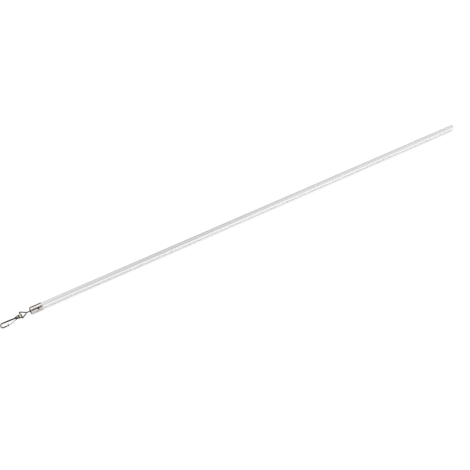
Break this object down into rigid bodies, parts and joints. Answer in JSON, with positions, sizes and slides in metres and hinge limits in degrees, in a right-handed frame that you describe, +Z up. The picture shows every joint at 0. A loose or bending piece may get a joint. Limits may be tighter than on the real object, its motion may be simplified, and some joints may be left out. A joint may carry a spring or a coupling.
{
  "type": "curtain wand",
  "caption": "Clear hexagonal rod with a metal cup, a swivelling wire eye and a spring-gated snap hook, hung from a curtain's leading glider to draw it by hand.",
  "frame": {"origin": "middle of the wand's length, under the rod's axis, on the surface it lies on", "axes": "+X along the rod from the fitting to the free end, +Z up from the surface, the hook's nose towards -Y"},
  "size_m": [0.8, 0.011, 0.011],
  "materials": {
    "clear_acrylic": "clear, polished",
    "cup_nickel": "bright nickel plate",
    "eye_nickel": "dark nickel-plated wire",
    "strap_nickel": "dark nickel-plated sheet, rubbed bright at the fold",
    "hook_nickel": "dark nickel-plated wire",
    "rivet_steel": "bright, domed",
    "gate_steel": "dark spring wire"
  },
  "bodies": {
    "wand": {"rod": "clear_acrylic", "ferrule": "cup_nickel"},
    "eye": {"swivel_eye": "eye_nickel"},
    "hook": {"hook_strap": "strap_nickel", "hook_wire": "hook_nickel", "gate_rivet": "rivet_steel"},
    "gate": {"spring_gate": "gate_steel"}
  },
  "joints": [
    {"name": "eye_swivel", "type": "hinge", "parent": "wand", "child": "eye", "pos_m": [-0.35363, 0, 0.00552], "axis": [1, 0, 0], "continuous": true},
    {"name": "hook_swing", "type": "hinge", "parent": "eye", "child": "hook", "pos_m": [-0.36833, 0, 0.00552], "axis": [0, -0.9397, -0.342], "range_deg": [-110, 105]},
    {"name": "gate_press", "type": "hinge", "parent": "hook", "child": "gate", "pos_m": [-0.3733, -0.00059, 0.00479], "axis": [0.0958, 0.3404, -0.9354], "range_deg": [0, 7.5], "stiffness_Nm_per_rad": 0.1}
  ]
}
